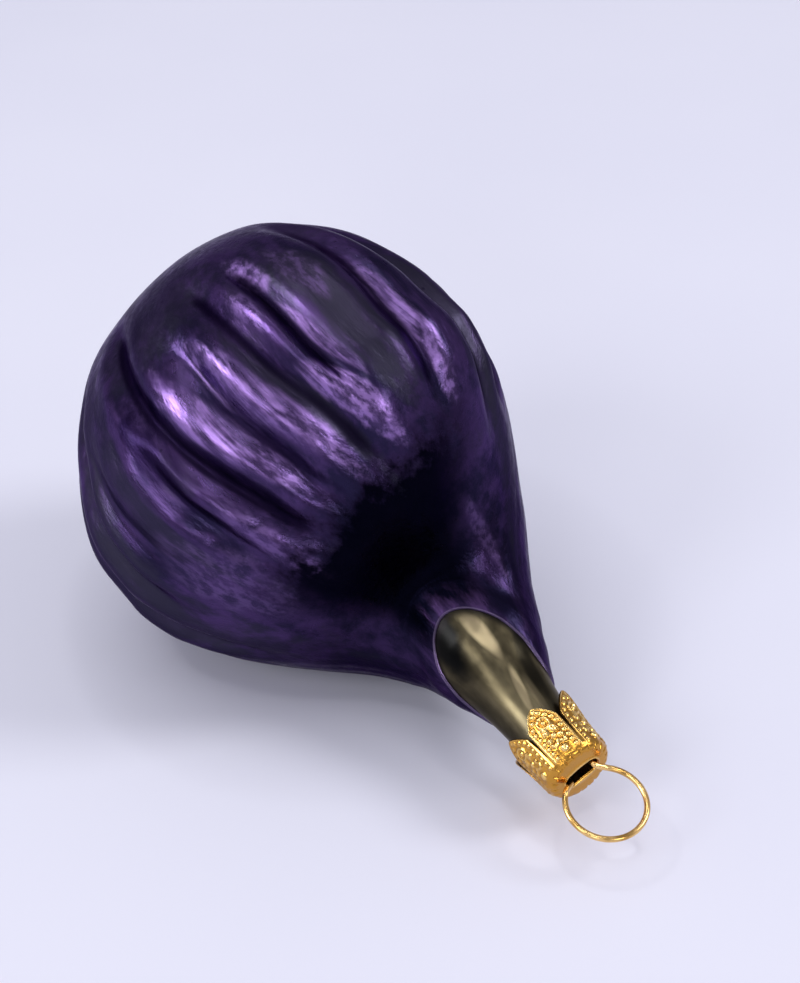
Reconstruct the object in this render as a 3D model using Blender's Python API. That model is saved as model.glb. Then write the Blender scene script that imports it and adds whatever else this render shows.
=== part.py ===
"""A mouth-blown glass fig ornament lying on its side.

Three pieces: the pleated glass fig with its stem, the stamped crown cap and the wire hanger.
The fig is described by stations along a gently bent axis, from the blossom end (negative) past the
middle of the bulb (0) to the open mouth of the stem, and by the angle around that axis: 0 is the top,
90 is towards +Y. Lengths in the tables are millimetres. The origin is the flat spot it rests on.
"""

import math
import random

import bmesh
import bpy
import numpy as np
from mathutils import Vector

MM = 0.001

# The axis: how far it points below level, and its sideways bend
TILT_DEG = [(-33, 29), (12, 29), (50, 14), (60, 8.5), (75, 7)]
SIDEWAYS = [
    (-33, -1.4), (0, -1.4), (15, 0.1), (30, 1.05), (40, 0.45),
    (48.5, -0.9), (52.5, -1.8), (57.5, -2.95), (62, -4.1), (69.15, -5.2), (75, -5.95),
]
AXIS_STEP = 0.25
AXIS_START, AXIS_END = -33.0, 75.0
SETTLED_AXIS = 36.0  # from here on the cross-sections stand square to the bent axis

# Radii of the lacquered bulb and neck, and of the bare stem inside the neck's lip
BACK_LENGTH = 32.0
BACK_POWER = 1.8
PURPLE_RADII = [
    (0, 33.1), (6, 33.15), (12, 31.6), (18, 28.4), (24, 24.1),
    (30, 19.1), (36, 13.9), (42, 10.0), (48, 7.9), (52, 5.85),
]
STEM_RADII = [(-33, 7.75), (44, 7.75), (48, 6.9), (52, 5.2), (57, 4.8), (61, 4.55), (75, 4.55)]
LIP_LINE = 52.0  # the surface line that follows the lip
LEAN_START, LEAN_END = 22.0, 60.0  # surface lines between these lean with the lip
LIP_APEX = 39.7  # station where the stem first shows
LIP_APEX_ANGLE = -43.0
LIP_REACH = 15.7
LIP_SHARPNESS = 2.3
MOUTH = 65.0

# The bulb isn't round: three and four soft lobes, a leaning back and a few fuller or flatter places
LOBES = [(3, 0.060, -3.4), (4, 0.025, 14.6)]  # count, share of the radius, angle
LOBES_FROM, LOBES_TO = 10.0, 40.0  # they fade out between these
BACK_LEAN = (0.028, 113.0)  # share of the radius, angle
LEAN_BACK_START, LEAN_BACK_LENGTH = 6.0, 30.0
BUMPS = [  # height, station, length, angle, width
    (0.8, 14, 16, 165, 30), (0.8, -26, 5, -98, 14), (-0.9, -11, 8, -106, 14),
    (-0.7, 5, 7, -121, 14), (0.6, -24, 6, 12, 12), (-0.75, -9, 8, 26, 14), (-0.6, 10, 5, 40, 12),
]

# Furrows: angle, turn in degrees a millimetre, depth, half width, first and last station
VISIBLE_FURROWS = [
    (-88.0, 0.15, 1.0, 2.2, -16, 18),
    (-69.0, 0.00, 1.1, 1.7, -8, 26),
    (-60.5, 0.36, 1.8, 2.0, -28, 28),
    (-43.3, 0.12, 1.4, 1.8, -14, 26),
    (-27.8, 0.22, 1.6, 2.4, -24, 27),
    (-17.5, 0.06, 1.9, 1.6, -22, 16),
    (3.5, -0.14, 1.5, 2.0, -26, 24),
    (20.0, 0.16, 1.4, 2.0, -26, 28),
]
HIDDEN_FURROWS = 16
HIDDEN_FROM, HIDDEN_TO = 34.0, 263.0
SHOULDER = 0.22  # the raised edge beside a furrow, as a share of its depth
SHOULDER_OFFSET = 2.0  # in half widths
FADE_IN, FADE_OUT = 9.0, 12.0
TURNING_ENDS = 30.0  # furrows hold their angle beyond this station
SEED = 11

# Glass wall, from the thick blossom end to the neck
WALL = [(-33, 1.9), (0, 1.15), (30, 0.9), (75, 0.9)]
REST_HEIGHT = 32.95  # the bulb's middle over the surface it lies on
REST_POINT = (2.9, -1.7)  # the middle of the flat spot, from the bulb's middle

# Mesh lines around one pleat, as shares of its width, on the bulb, the neck and the inside
BULB_SHARES = (0.0, 0.2, 0.5, 0.8)
NECK_SHARES = (0.0, 0.5)
INNER_SHARES = (0.0, 0.5)

# Mesh rows along the glass
BACK_ROWS = np.linspace(8, 82, 9)  # degrees round the back, from its pole
BULB_ROWS = np.linspace(0, 34, 15)
NECK_ROWS = [37, 40, 43, 46, 48.5, 50.5, 51.5, 51.9, 52.1, 53, 55, 58, 61.5, MOUTH]
INNER_ROWS = [*np.linspace(MOUTH, 34, 6), *np.linspace(28, 0, 5)]
INNER_BACK_LENGTH = BACK_LENGTH - 2
INNER_BACK_ROWS = np.linspace(80, 22, 5)
INNER_POLE = -28.8

# Crown cap
CAP_END = 68.85  # station of the cap's end face
CAP_RADIUS = 5.45  # at the petals' points
CAP_TAPER = 0.45  # how much narrower it is at its end
CAP_WALL = 0.32
CAP_LENGTH = 9.3
CAP_ROLL = -26.5  # the angle of its first petal
PETALS = 6
PETAL_TIP = 2.5  # height of the pointed part
PETAL_REACHES = (0.1, 0.75, 0.3, 0.3, 0.3, 0.0)  # how much longer each petal is
PETAL_FLARES = (0.15, 0.65, 0.4, 0.4, 0.4, 0.1)  # how far each petal's point bends outward
FLARE_TOP = 6.0
SLIT_TOP = 6.9  # how far the slits between the petals run
SLIT_HALF_DEG = 3.8
PETAL_PITCH = 360 / PETALS
PETAL_SIDE = PETAL_PITCH / 2 - SLIT_HALF_DEG
POINT_POWER = 1.4
PETAL_COLUMNS = 9
BORDER_INSET, BORDER_WIDTH = 0.55, 0.4
BOSS_HEIGHTS, BOSS_RADIUS = (2.8, 7.4), 0.75
SHOULDER_ROUND = 1.0
RELIEF = 0.2
SLOT = (5.4, 2.6)

# Wire hanger
WIRE = 0.85
RING_RADIUS = 5.56
RING_CENTRE = 5.55  # from the cap's end face
RING_DROOP = 8.5
RING_ROLL = -6.6
LEG_HALF_GAP = 2.0
LEG_SPREAD = 2.75
LEG_DEPTHS = (6.0, 4.0, 1.8, 0.0)  # below the end face
LEG_HALF_GAPS = (LEG_SPREAD, 2.55, 2.1, LEG_HALF_GAP)
RING_TURNS = range(140, -1, -20)  # from where a leg meets the ring to the far side
PATH_POINTS = 61


def smooth_curve(points, at):
    """The smooth curve through (x, y) points that never overshoots them."""
    x, y = np.array(points, float).T
    width = np.diff(x)
    slope = np.diff(y) / width
    tangent = np.zeros(len(x))
    tangent[0], tangent[-1] = slope[0], slope[-1]
    for i in range(1, len(x) - 1):
        before, after = slope[i - 1], slope[i]
        if before * after > 0:
            far, near = 2 * width[i] + width[i - 1], width[i] + 2 * width[i - 1]
            tangent[i] = (far + near) / (far / before + near / after)
    at = np.clip(at, x[0], x[-1])
    i = np.clip(np.searchsorted(x, at, side="right") - 1, 0, len(width) - 1)
    t = (at - x[i]) / width[i]
    start = (1 + 2 * t) * (1 - t) ** 2 * y[i] + t * (1 - t) ** 2 * width[i] * tangent[i]
    end = t * t * (3 - 2 * t) * y[i + 1] + t * t * (t - 1) * width[i] * tangent[i + 1]
    return start + end


def ease(share):
    share = np.clip(share, 0, 1)
    return share * share * (3 - 2 * share)


def straight_curve(points, at):
    x, y = np.array(points, float).T
    return np.interp(at, x, y)


class Axis:
    """Points and directions along the bent axis."""

    def __init__(self):
        self.stations = np.arange(AXIS_START, AXIS_END + AXIS_STEP, AXIS_STEP)
        tilt = np.radians(straight_curve(TILT_DEG, self.stations))
        forward, drop = self.summed(np.cos(tilt)), -self.summed(np.sin(tilt))
        line = np.stack([forward, smooth_curve(SIDEWAYS, self.stations), drop], 1)
        body = np.array([math.cos(tilt[0]), 0, -math.sin(tilt[0])])
        share = np.clip(self.stations / SETTLED_AXIS, 0, 1)[:, None]
        along = body * (1 - share) + np.gradient(line, self.stations, axis=0) * share
        self.along = along / np.linalg.norm(along, axis=1)[:, None]
        side = np.cross([0.0, 0.0, 1.0], self.along)
        self.side = side / np.linalg.norm(side, axis=1)[:, None]
        self.up = np.cross(self.along, self.side)
        self.line = line + [-REST_POINT[0], -REST_POINT[1], REST_HEIGHT]

    def summed(self, slope):
        total = np.concatenate([[0], np.cumsum((slope[1:] + slope[:-1]) / 2 * AXIS_STEP)])
        return total - np.interp(0, self.stations, total)

    def pick(self, table, station):
        return np.stack([np.interp(station, self.stations, table[:, k]) for k in range(3)], -1)

    def point(self, station, angle, radius):
        up, side = self.pick(self.up, station), self.pick(self.side, station)
        out = np.cos(angle)[..., None] * up + np.sin(angle)[..., None] * side
        return self.pick(self.line, station) + np.asarray(radius)[..., None] * out


def all_furrows():
    """The furrows that show, then irregular ones round the far side, sorted by angle."""
    draw = random.Random(SEED)
    gap = (HIDDEN_TO - HIDDEN_FROM) / (HIDDEN_FURROWS - 1)
    found = list(VISIBLE_FURROWS)
    for i in range(HIDDEN_FURROWS):
        angle = HIDDEN_FROM + gap * (i + draw.uniform(-0.2, 0.2))
        turn, depth = draw.uniform(-0.12, 0.12), draw.uniform(0.8, 1.6)
        half_width = draw.uniform(1.6, 2.3)
        first, last = draw.uniform(-28, -14), draw.uniform(16, 29)
        found.append((angle, turn, depth, half_width, first, last))
    return sorted(found)


FURROWS = all_furrows()


def furrow_angle(furrow, line):
    """A furrow's own angle along its length. It holds still on the neck."""
    return np.radians(furrow[0] + furrow[1] * np.clip(line, AXIS_START, TURNING_ENDS))


def pleat_angles(line, shares):
    """Angles of the mesh lines, which follow the furrows."""
    angles = []
    for i, furrow in enumerate(FURROWS):
        start = furrow_angle(furrow, line)
        end = furrow_angle(FURROWS[(i + 1) % len(FURROWS)], line)
        end = end + (2 * math.pi if i == len(FURROWS) - 1 else 0)
        angles += [start + (end - start) * share for share in shares]
    return np.stack(angles, -1)


def furrow_height(line, angle, radius):
    height = np.zeros(np.broadcast(line, angle).shape)
    for furrow in FURROWS:
        depth, half_width, first, last = furrow[2:]
        turn = (angle - furrow_angle(furrow, line) + math.pi) % (2 * math.pi) - math.pi
        across = turn * radius / half_width
        fade = ease((line - first) / FADE_IN) * ease((last - line) / FADE_OUT)
        shoulders = np.exp(-((np.abs(across) - SHOULDER_OFFSET) ** 2))
        height += depth * fade * (SHOULDER * shoulders - np.exp(-(across**2)))
    return height


def lip_station(angle):
    turn = angle - math.radians(LIP_APEX_ANGLE)
    return LIP_APEX + LIP_REACH * np.tanh(LIP_SHARPNESS * np.sin(turn / 2) ** 2)


def purple_radius(line):
    """Radius of the bulb and neck: a rounded back, then the profile down to the lip."""
    behind = np.abs(np.minimum(line, 0)) / BACK_LENGTH
    back = PURPLE_RADII[0][1] * np.maximum(1 - behind**BACK_POWER, 0) ** (1 / BACK_POWER)
    return np.where(line < 0, back, smooth_curve(PURPLE_RADII, np.maximum(line, 0)))


def lobes(line, angle):
    height = sum(size * np.cos(count * (angle - math.radians(turn))) for count, size, turn in LOBES)
    height = height * ease((LOBES_TO - line) / (LOBES_TO - LOBES_FROM))
    lean, lean_angle = BACK_LEAN
    share = np.clip((LEAN_BACK_START - line) / LEAN_BACK_LENGTH, 0, 1)
    return height + share * lean * np.cos(angle - math.radians(lean_angle))


def bumps(line, angle):
    """The glass is a little fuller or flatter here and there."""
    total = 0.0
    for height, station, length, middle, width in BUMPS:
        turn = (np.degrees(angle) - middle + 180) % 360 - 180
        total = total + height * np.exp(-(((line - station) / length) ** 2) - (turn / width) ** 2)
    return total


def form(line, angle):
    """Station and radius of the glass without its furrows. Near the lip the lines lean with it."""
    rise = ease((line - LEAN_START) / (LIP_LINE - LEAN_START))
    fall = 1 - ease((line - LIP_LINE) / (LEAN_END - LIP_LINE))
    share = np.where(line < LIP_LINE, rise, fall)
    station = line - (LIP_LINE - lip_station(angle)) * share
    cover = purple_radius(line) - smooth_curve(STEM_RADII, line)
    radius = smooth_curve(STEM_RADII, station) + np.where(line < LIP_LINE, cover, 0)
    return station, radius * (1 + lobes(line, angle)) + bumps(line, angle)


def glass_surface(axis, line, angle):
    """Points of the outer surface, with the underside flattened where it rests."""
    station, radius = form(line, angle)
    points = axis.point(station, angle, radius + furrow_height(line, angle, radius))
    points[..., 2] = np.maximum(points[..., 2], 0)
    return points


def inner_surface(axis, line, angle):
    """Points of the inner surface, a wall's thickness inside the outer one."""
    station, radius = form(line, angle)
    depth = straight_curve(WALL, line) - furrow_height(line, angle, radius)
    return axis.point(station, angle, radius - depth)


def material(name, colour, metallic, roughness):
    made = bpy.data.materials.new(name)
    made.use_nodes = True
    shader = made.node_tree.nodes["Principled BSDF"]
    shader.inputs["Base Color"].default_value = (*colour, 1)
    shader.inputs["Metallic"].default_value = metallic
    shader.inputs["Roughness"].default_value = roughness
    made.diffuse_color = (*colour, 1)
    return made


def finished(name, bm, surface, sharp_deg=35):
    """The mesh as a smooth-shaded object."""
    bmesh.ops.triangulate(bm, faces=[f for f in bm.faces if len(f.verts) > 4])
    bmesh.ops.recalc_face_normals(bm, faces=bm.faces)
    mesh = bpy.data.meshes.new(name)
    bm.to_mesh(mesh)
    bm.free()
    mesh.shade_smooth()
    mesh.set_sharp_from_angle(angle=math.radians(sharp_deg))
    mesh.materials.append(surface)
    made = bpy.data.objects.new(name, mesh)
    bpy.context.scene.collection.objects.link(made)
    return made


def add_ring(bm, points):
    return [bm.verts.new(Vector(point) * MM) for point in points]


def bridge(bm, one, two):
    """Faces between two rings. The longer ring's count is a multiple of the shorter one's."""
    if len(one) < len(two):
        one, two = two, one
    times = len(one) // len(two)
    for j, corner in enumerate(two):
        after = two[(j + 1) % len(two)]
        chain = [one[(j * times + k) % len(one)] for k in range(times + 1)]
        if times == 1:
            bm.faces.new([corner, after, chain[1], chain[0]])
            continue
        middle = times // 2
        for k in range(times):
            bm.faces.new([chain[k], chain[k + 1], corner if k < middle else after])
        bm.faces.new([corner, after, chain[middle]])


def close_end(bm, ring, point):
    pole = bm.verts.new(Vector(point) * MM)
    for j, corner in enumerate(ring):
        bm.faces.new([corner, ring[(j + 1) % len(ring)], pole])


def glass_fig(axis, surface):
    """The hollow fig: outer skin, rim round the mouth and inner skin, in one closed mesh."""
    back = -BACK_LENGTH * np.cos(np.radians(BACK_ROWS))
    inner_back = -INNER_BACK_LENGTH * np.cos(np.radians(INNER_BACK_ROWS))
    bm = bmesh.new()
    rings = []

    def add_rows(surface_points, lines, shares):
        for line in lines:
            angles = pleat_angles(line, shares)
            rings.append(add_ring(bm, surface_points(axis, np.full(len(angles), float(line)), angles)))

    add_rows(glass_surface, [*back, *BULB_ROWS], BULB_SHARES)
    add_rows(glass_surface, NECK_ROWS, NECK_SHARES)
    add_rows(inner_surface, [*INNER_ROWS, *inner_back], INNER_SHARES)
    for one, two in zip(rings, rings[1:]):
        bridge(bm, one, two)
    close_end(bm, rings[0], axis.pick(axis.line, -BACK_LENGTH))
    close_end(bm, rings[-1], axis.pick(axis.line, INNER_POLE))
    return finished("glass_fig", bm, surface, 50)


def from_petal(turn_deg):
    """Degrees from the middle of the nearest petal."""
    return (turn_deg + PETAL_PITCH / 2) % PETAL_PITCH - PETAL_PITCH / 2


def petal_number(turn_deg):
    return int((turn_deg + PETAL_PITCH / 2) % 360 // PETAL_PITCH)


def petal_edge(turn_deg):
    """Height of the cap's open edge, over the point of a petal of plain length."""
    turn = abs(from_petal(turn_deg))
    share = turn / PETAL_SIDE
    if share <= 1:
        reach = PETAL_REACHES[petal_number(turn_deg)]
        return PETAL_TIP * share**POINT_POWER - reach * (1 - share**2)
    return PETAL_TIP + (SLIT_TOP - PETAL_TIP) * (turn - PETAL_SIDE) / SLIT_HALF_DEG


def cap_radius(height):
    return CAP_RADIUS - CAP_TAPER * height / CAP_LENGTH


def cap_relief(turn_deg, height):
    """Raised border and two bosses on each petal."""
    across = math.radians(from_petal(turn_deg)) * CAP_RADIUS
    side = math.radians(PETAL_SIDE) * CAP_RADIUS - abs(across)
    from_edge = min(height - petal_edge(turn_deg), side)
    raised = math.exp(-(((from_edge - BORDER_INSET) / BORDER_WIDTH) ** 2))
    for middle in BOSS_HEIGHTS:
        raised += math.exp(-(across**2 + (height - middle) ** 2) / BOSS_RADIUS**2)
    return RELIEF * min(raised, 1.0)


def cap_columns():
    """Turns of the mesh columns round the cap, close together at the slits."""
    inside = list(np.linspace(-PETAL_SIDE, PETAL_SIDE, PETAL_COLUMNS))
    return [PETAL_PITCH * petal + turn for petal in range(PETALS) for turn in inside + [PETAL_PITCH / 2]]


def crown_cap(axis, surface):
    """The stamped cap, with its slot cut by a box."""
    end, along = axis.pick(axis.line, CAP_END), axis.pick(axis.along, CAP_END - 4)
    up, side = axis.pick(axis.up, CAP_END - 4), axis.pick(axis.side, CAP_END - 4)

    def place(turn_deg, height, radius):
        turn = math.radians(turn_deg + CAP_ROLL)
        out = up * math.cos(turn) + side * math.sin(turn)
        return end - along * (CAP_LENGTH - height) + out * radius

    def wall_point(turn_deg, height, inset):
        flare = PETAL_FLARES[petal_number(turn_deg)] * max(1 - height / FLARE_TOP, 0) ** 2
        relief = 0 if inset else cap_relief(turn_deg, height)
        return place(turn_deg, height, cap_radius(height) + flare + relief - inset)

    turns = cap_columns()
    wall_top = CAP_LENGTH - SHOULDER_ROUND
    bm = bmesh.new()
    rings = []
    for share in np.linspace(0, 1, 11):
        heights = [petal_edge(t) * (1 - share) + wall_top * share for t in turns]
        rings.append(add_ring(bm, [wall_point(t, h, 0) for t, h in zip(turns, heights)]))
    for bend in (30, 60, 90):
        lift = SHOULDER_ROUND * math.sin(math.radians(bend))
        draw = SHOULDER_ROUND * (1 - math.cos(math.radians(bend)))
        rings.append(add_ring(bm, [place(t, wall_top + lift, cap_radius(wall_top) - draw) for t in turns]))
    inner = []
    for share in (0, 0.25, 0.5, 0.75, 1):
        heights = [petal_edge(t) * (1 - share) + (wall_top - CAP_WALL) * share for t in turns]
        inner.append(add_ring(bm, [wall_point(t, h, CAP_WALL) for t, h in zip(turns, heights)]))
    top = CAP_LENGTH - CAP_WALL
    inner.append(add_ring(bm, [place(t, top, cap_radius(top) - SHOULDER_ROUND) for t in turns]))
    rings = inner[::-1] + rings
    for one, two in zip(rings, rings[1:]):
        bridge(bm, one, two)
    close_end(bm, rings[0], place(0, top, 0))
    close_end(bm, rings[-1], place(0, CAP_LENGTH, 0))
    cap = finished("crown_cap", bm, surface)

    long_way, short_way = SLOT
    cutter_bm = bmesh.new()
    bmesh.ops.create_cube(cutter_bm, size=1)
    turn = math.radians(CAP_ROLL)
    across = side * math.cos(turn) - up * math.sin(turn)
    facing = up * math.cos(turn) + side * math.sin(turn)
    for vert in cutter_bm.verts:
        x, y, z = vert.co
        corner = end + across * x * long_way + facing * y * short_way + along * z * 3
        vert.co = Vector(corner) * MM
    cutter = finished("slot_cutter", cutter_bm, surface)
    cutter.hide_render = True
    cutter.display_type = "WIRE"
    cut = cap.modifiers.new("slot", "BOOLEAN")
    cut.operation = "DIFFERENCE"
    cut.object = cutter
    return cap


def run_lengths(points):
    steps = np.linalg.norm(np.diff(points, axis=0), axis=1)
    return np.concatenate([[0], np.cumsum(steps)])


def smooth_path(knots, count):
    """Points at even distances along the smooth curve through the knots."""
    knots = np.array(knots)
    length = run_lengths(knots)
    dense = np.linspace(0, length[-1], 400)
    curve = np.stack([smooth_curve(list(zip(length, row)), dense) for row in knots.T], 1)
    run = run_lengths(curve)
    even = np.linspace(0, run[-1], count)
    return np.stack([np.interp(even, run, row) for row in curve.T], 1)


def wire_hanger(axis, surface):
    """The wire: two legs spread inside the stem, out through the slot and round in a ring."""
    end, along = axis.pick(axis.line, CAP_END), axis.pick(axis.along, CAP_END - 4)
    up, side = axis.pick(axis.up, CAP_END - 4), axis.pick(axis.side, CAP_END - 4)

    def directions(roll_deg, droop_deg):
        roll, droop = math.radians(roll_deg), math.radians(droop_deg)
        across = side * math.cos(roll) - up * math.sin(roll)
        facing = up * math.cos(roll) + side * math.sin(roll)
        return across, along * math.cos(droop) - facing * math.sin(droop)

    slot_across, _ = directions(CAP_ROLL, 0)
    ring_across, ring_out = directions(RING_ROLL, RING_DROOP)
    centre = end + ring_out * RING_CENTRE
    half = []
    for depth, half_gap in zip(LEG_DEPTHS, LEG_HALF_GAPS):
        half.append((end - along * depth, slot_across, half_gap))
    for turn in RING_TURNS:
        angle = math.radians(turn)
        base = centre + ring_out * RING_RADIUS * math.cos(angle)
        half.append((base, ring_across, RING_RADIUS * math.sin(angle)))
    right = [base + direction * offset for base, direction, offset in half]
    left = [base - direction * offset for base, direction, offset in half[:-1]]
    path = smooth_path(right + left[::-1], PATH_POINTS)

    curve = bpy.data.curves.new("wire_hanger", "CURVE")
    curve.dimensions = "3D"
    curve.bevel_depth = WIRE / 2 * MM
    curve.bevel_resolution = 2
    curve.use_fill_caps = True
    spline = curve.splines.new("POLY")
    spline.points.add(len(path) - 1)
    for point, place in zip(spline.points, path):
        point.co = (*(place * MM), 1)
    curve.materials.append(surface)
    made = bpy.data.objects.new("wire_hanger", curve)
    bpy.context.scene.collection.objects.link(made)
    return made


def build():
    for old in list(bpy.data.objects):
        bpy.data.objects.remove(old, do_unlink=True)
    axis = Axis()
    glass_fig(axis, material("purple_lacquer", (0.10, 0.045, 0.19), 0.85, 0.34))
    crown_cap(axis, material("stamped_brass", (0.89, 0.61, 0.20), 1.0, 0.26))
    wire_hanger(axis, material("brass_wire", (0.83, 0.66, 0.34), 1.0, 0.22))


build()
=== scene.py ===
"""Looks of the blown-glass fig ornament: lacquered glass, embossed cap, wire ring, floor, light, camera."""

import math
import random

import bmesh
import bpy
import numpy as np
from mathutils import Matrix, Vector


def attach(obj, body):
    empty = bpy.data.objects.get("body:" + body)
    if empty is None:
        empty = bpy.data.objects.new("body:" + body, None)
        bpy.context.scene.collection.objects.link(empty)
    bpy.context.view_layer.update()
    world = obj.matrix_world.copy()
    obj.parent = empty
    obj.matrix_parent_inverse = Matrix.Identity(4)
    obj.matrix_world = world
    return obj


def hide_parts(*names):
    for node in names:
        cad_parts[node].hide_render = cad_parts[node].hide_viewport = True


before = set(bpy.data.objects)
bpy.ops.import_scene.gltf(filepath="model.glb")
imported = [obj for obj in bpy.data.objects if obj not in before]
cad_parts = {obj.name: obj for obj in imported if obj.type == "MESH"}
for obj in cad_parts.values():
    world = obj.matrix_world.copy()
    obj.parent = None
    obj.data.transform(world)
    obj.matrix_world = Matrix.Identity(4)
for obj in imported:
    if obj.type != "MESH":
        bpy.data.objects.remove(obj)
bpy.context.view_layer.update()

MM = 0.001

# The axis, from the blossom end (negative stations) to the mouth, in millimetres and degrees
TILT_DEG = [(-33, 29), (12, 29), (50, 14), (60, 8.5), (75, 7)]
SIDEWAYS = [
    (-33, -1.4), (0, -1.4), (15, 0.1), (30, 1.05), (40, 0.45),
    (48.5, -0.9), (52.5, -1.8), (57.5, -2.95), (62, -4.1), (69.15, -5.2), (75, -5.95),
]
AXIS_STEP = 0.25
AXIS_START, AXIS_END = -33.0, 75.0
SETTLED_AXIS = 36.0  # from here on the cross-sections stand square to the bent axis

# Radii of the lacquered bulb and neck, and of the bare stem
BACK_LENGTH = 32.0
BACK_POWER = 1.8
PURPLE_RADII = [
    (0, 33.1), (6, 33.15), (12, 31.6), (18, 28.4), (24, 24.1),
    (30, 19.1), (36, 13.9), (42, 10.0), (48, 7.85), (52, 6.0),
]
STEM_RADII = [(-33, 7.75), (44, 7.75), (48, 6.95), (52, 5.7), (56, 4.95), (61, 4.55), (75, 4.55)]
LIP_LINE = 52.0  # the surface line that follows the lip
LEAN_START = 22.0  # from here on the surface lines lean with the lip
LIP_APEX = 39.7  # station where the stem first shows
LIP_APEX_ANGLE = -43.0
LIP_REACH = 15.7
LIP_SHARPNESS = 2.3
LIP_ROUND = 0.4
LIP_SINK = 0.1  # how far its edge dips into the stem
MOUTH = 65.0

LOBES = [(3, 0.060, -3.4), (4, 0.025, 14.6)]  # count, share of the radius, angle
LOBES_FROM, LOBES_TO = 10.0, 40.0  # they fade out between these
BACK_LEAN = (0.028, 113.0)  # share of the radius, angle
LEAN_BACK_START, LEAN_BACK_LENGTH = 6.0, 30.0
BUMPS = [  # height, station, length, angle, width
    (0.8, 14, 16, 165, 30), (0.8, -26, 5, -98, 14), (-0.9, -11, 8, -106, 14),
    (-0.7, 5, 7, -121, 14), (0.6, -24, 6, 12, 12), (-0.75, -9, 8, 26, 14), (-0.6, 10, 5, 40, 12),
]

# Furrows: angle, turn in degrees a millimetre, depth, half width, first and last station
VISIBLE_FURROWS = [
    (-88.0, 0.15, 1.0, 2.2, -16, 18),
    (-69.0, 0.00, 1.1, 1.7, -8, 26),
    (-60.5, 0.36, 1.8, 2.0, -28, 28),
    (-43.3, 0.12, 1.4, 1.8, -14, 26),
    (-27.8, 0.22, 1.6, 2.4, -24, 27),
    (-17.5, 0.06, 1.9, 1.6, -22, 16),
    (3.5, -0.14, 1.5, 2.0, -26, 24),
    (20.0, 0.16, 1.4, 2.0, -26, 28),
]
HIDDEN_FURROWS = 16
HIDDEN_FROM, HIDDEN_TO = 34.0, 263.0
SHOULDER = 0.22  # the raised edge beside a furrow, as a share of its depth
SHOULDER_OFFSET = 2.0  # in half widths
FADE_IN, FADE_OUT = 9.0, 12.0
TURNING_ENDS = 30.0  # furrows hold their angle beyond this station
SEED = 11

# Fine waviness of the glass: height, length, pitch in degrees, seed
BULB_RIPPLES = [(0.10, 11, 5, 3), (0.16, 16, 12, 4)]
STEM_RIPPLE = (0.02, 8, 24, 5)
RIPPLES_FROM, RIPPLES_TO = -31, 46
RIPPLES_IN, RIPPLES_OUT = 10, 14
NOISE_ROWS, NOISE_START = 64, -40

# Thickness of the glass, and how the bulb lies
WALL = 1.1
STEM_WALL = 0.9
REST_HEIGHT = 32.95  # the bulb's middle over the surface it lies on
REST_POINT = (2.9, -1.7)  # the middle of the flat spot, from the bulb's middle

# Rows and columns of the bulb's and the stem's meshes
PLEAT_STEPS = 16
CROWDING = 0.5  # how much closer the mesh lines stand in a furrow
BACK_ROWS = np.linspace(1.5, 88, 64)  # degrees round the back, from its pole
NECK_START = 36
BULB_STEP, NECK_STEP = 0.55, 0.5
LIP_ROWS = np.linspace(0, 90, 9)  # degrees round the lip's edge
INNER_SHARES = (0.0, 0.5)
INNER_ROWS = [*np.linspace(LIP_LINE - 1, 34, 8), *np.linspace(28, 0, 6), -10, -20, -27]
INNER_POLE = -BACK_LENGTH + 2
STEM_COLUMNS = 96
STEM_START, STEM_STEP = 39.0, 0.4
STEM_INNER_ROWS = (MOUTH, MOUTH - 6, STEM_START + 4)
MOUTH_ROUND = 0.15

# Crown cap
CAP_END = 68.85  # station of the cap's end face
CAP_SETTLED = CAP_END - 4  # station where its directions are taken
CAP_RADIUS = 5.45
CAP_TAPER = 0.45  # how much narrower it is at its end
CAP_WALL = 0.28
CAP_LENGTH = 9.3
CAP_ROLL = -26.5  # the angle of its first petal
PETALS = 6
PETAL_TIP = 2.5  # height of the pointed part
PETAL_REACHES = np.array([0.1, 0.75, 0.3, 0.3, 0.3, 0.0])  # how much longer each petal is
PETAL_FLARES = np.array([0.15, 0.65, 0.4, 0.4, 0.4, 0.1])  # how far its point bends outward
PETAL_RELIEF = np.array([1.0, 0.8, 0.8, 0.8, 0.8, 0.5])  # how deeply it is stamped
FLARE_TOP = 6.0
SLIT_TOP = 6.9  # how far the slits between the petals run
SLIT_HALF_DEG = 3.8
PETAL_PITCH = 360 / PETALS
PETAL_SIDE = PETAL_PITCH / 2 - SLIT_HALF_DEG
POINT_POWER = 1.4
SHOULDER_ROUND = 1.0
SLOT_HALF_LENGTH, SLOT_HALF_WIDTH = 2.7, 1.3
PETAL_COLUMNS = 72
INSIDE_SHARES = (1, 0.6, 0.3, 0)  # of the way from a petal's edge to the end face
OUTSIDE_SHARES = np.linspace(0, 1, 100) ** 0.9
RELIEF_STARTS = 0.01  # share of the way over which it rises from the edge
SHOULDER_BENDS = np.linspace(10, 90, 9)  # degrees
FACE_SHARES = (0.15, 0.35, 0.55, 0.7, 0.78, 0.85, 0.91, 0.96, 1.0)  # of the way to the slot

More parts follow.
